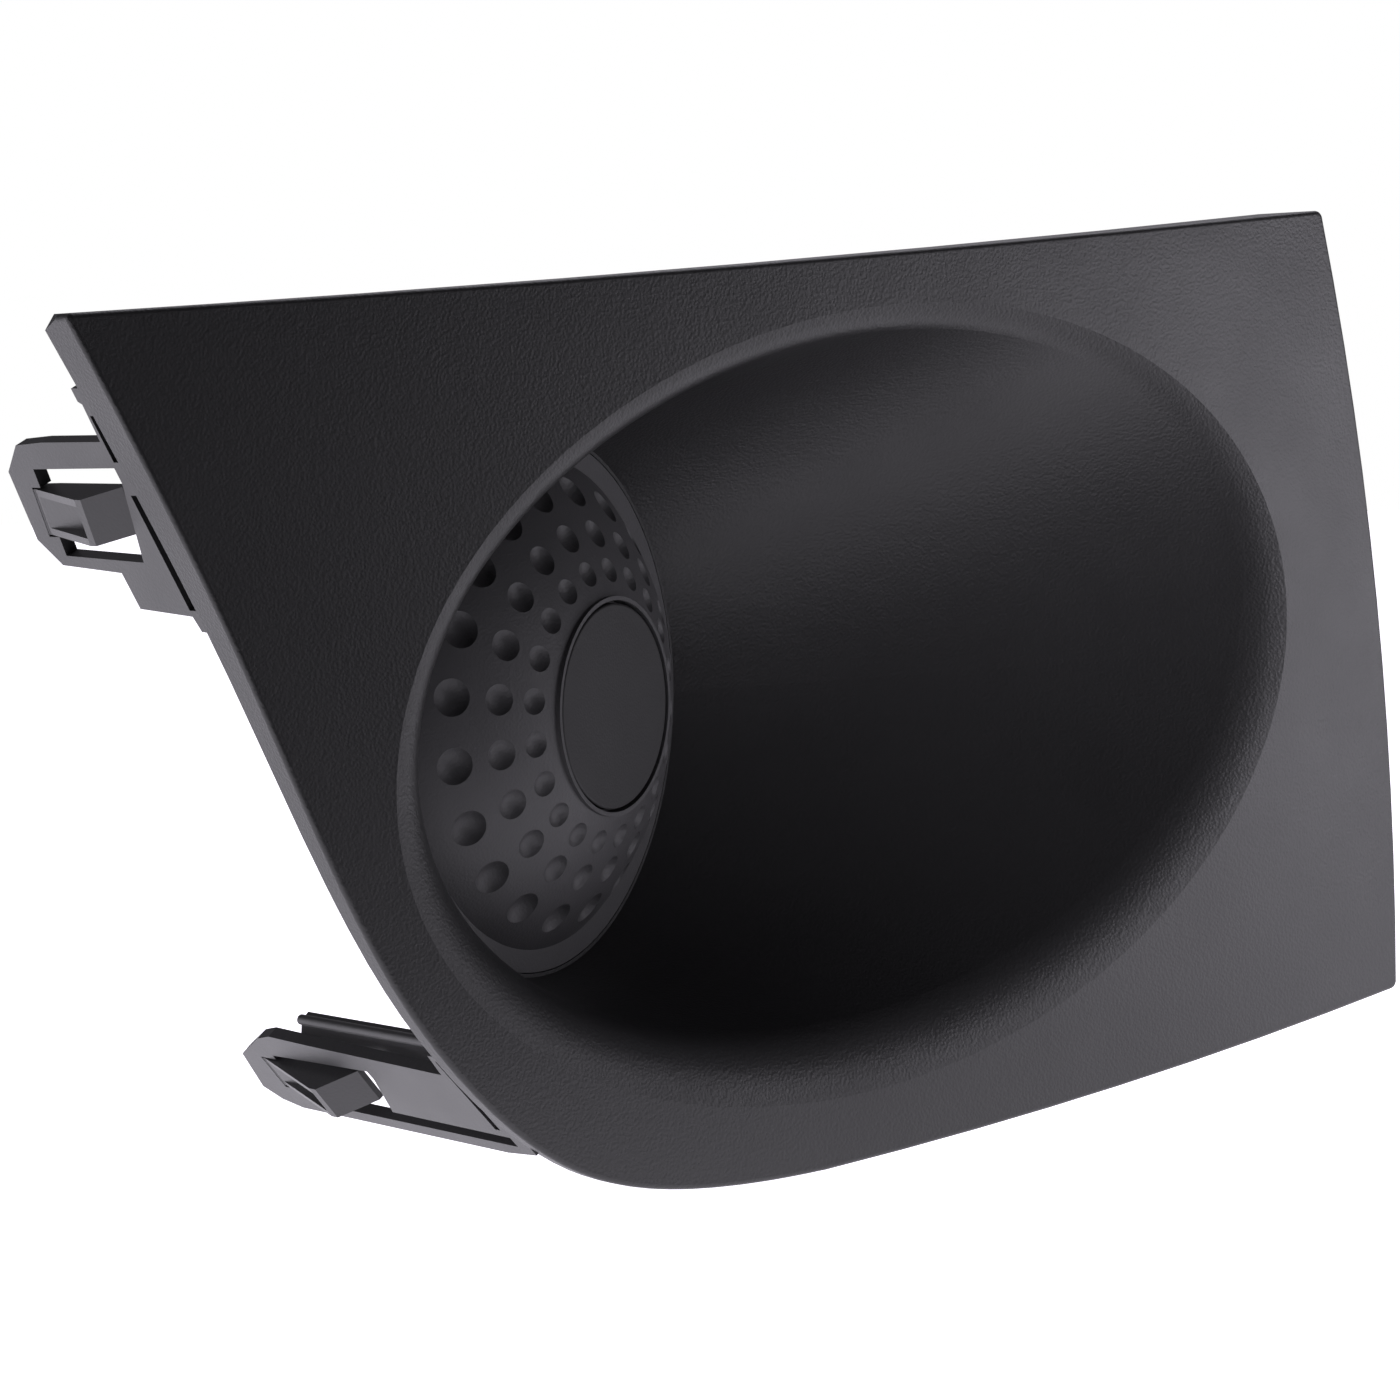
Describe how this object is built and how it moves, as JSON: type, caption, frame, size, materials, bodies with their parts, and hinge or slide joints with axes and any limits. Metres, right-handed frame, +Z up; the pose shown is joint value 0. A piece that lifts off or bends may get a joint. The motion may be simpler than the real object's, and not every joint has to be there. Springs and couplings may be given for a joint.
{
  "type": "fog lamp bezel",
  "caption": "Four-sided bumper lamp bezel with an oval scoop, a dimpled dome that blanks the lamp opening and sprung snap-in clips behind it.",
  "frame": {"origin": "seat of the upper clip: the middle of its plate, level with the rear of the skirt at the upper outboard corner", "axes": "+X inboard along the bumper (the part's length), +Y back into the car, along the clips, +Z up; the visible face looks along -Y"},
  "size_m": [0.2688, 0.0862, 0.1629],
  "materials": {
    "panel_plastic": "fine grained, matte",
    "clip_plastic": "smooth, satin",
    "blank_plastic": "fine grained, satin",
    "disc_plastic": "smooth, matte",
    "screw_steel": "zinc plated"
  },
  "bodies": {
    "bezel": {"bezel_panel": "panel_plastic", "upper_clip_plate": "clip_plastic", "lower_clip_plate": "clip_plastic", "inboard_clip_plate": "clip_plastic", "lower_clip_rail": "clip_plastic", "blank_cap": "blank_plastic", "centre_disc": "disc_plastic", "cap_screw_1": "screw_steel", "cap_screw_2": "screw_steel", "cap_screw_3": "screw_steel"},
    "upper_tongue": {"upper_clip_tongue": "clip_plastic"},
    "lower_tongue": {"lower_clip_tongue": "clip_plastic"},
    "inboard_tongue": {"inboard_clip_tongue": "clip_plastic"}
  },
  "joints": [
    {"name": "upper_tongue_flex", "type": "hinge", "parent": "bezel", "child": "upper_tongue", "pos_m": [0.00007, 0.0345, -0.00013], "axis": [-0.4746, -0.2873, 0.832], "range_deg": [0, 10], "stiffness_Nm_per_rad": 1.5},
    {"name": "lower_tongue_flex", "type": "hinge", "parent": "bezel", "child": "lower_tongue", "pos_m": [0.06042, 0.067, -0.09672], "axis": [-0.6863, -0.1483, 0.712], "range_deg": [0, 12], "stiffness_Nm_per_rad": 1.5},
    {"name": "inboard_tongue_flex", "type": "hinge", "parent": "bezel", "child": "inboard_tongue", "pos_m": [0.24109, 0.0345, -0.01328], "axis": [0.1509, -0.2873, -0.9459], "range_deg": [0, 10], "stiffness_Nm_per_rad": 1.5}
  ]
}
